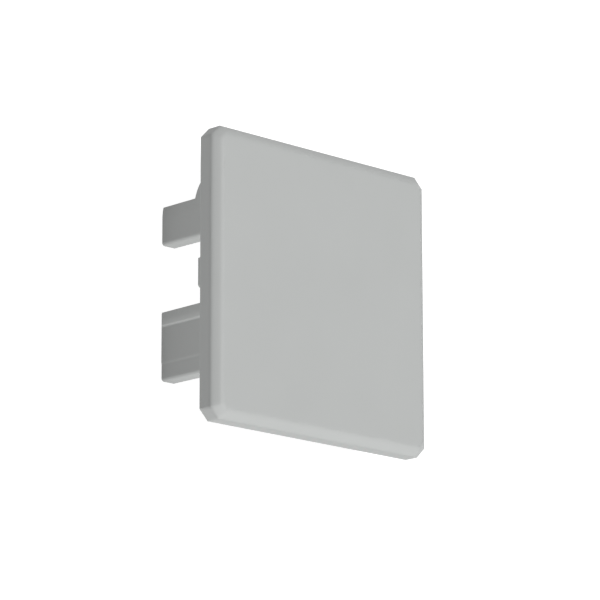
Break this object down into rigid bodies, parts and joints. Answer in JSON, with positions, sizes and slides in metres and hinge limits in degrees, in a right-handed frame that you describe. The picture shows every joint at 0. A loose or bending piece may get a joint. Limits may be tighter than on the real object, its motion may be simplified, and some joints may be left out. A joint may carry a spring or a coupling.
{
  "type": "profile end cap",
  "caption": "Square cover plate with cut corners and a bevelled front, and behind it prongs, pads and a low rim that push into the end of a hollow profile.",
  "frame": {"origin": "centre of the plate's back face, where the profile's end bears", "axes": "+Z out through the front face, +Y towards the side with the rim and the upper prongs, +X to the right seen from the front; the cap stands face up on its prong tips"},
  "size_m": [0.04, 0.04, 0.0137],
  "materials": {
    "plastic": "smooth satin moulded plastic, light grey"
  },
  "bodies": {
    "root": {"end_cap": "plastic"}
  },
  "joints": []
}
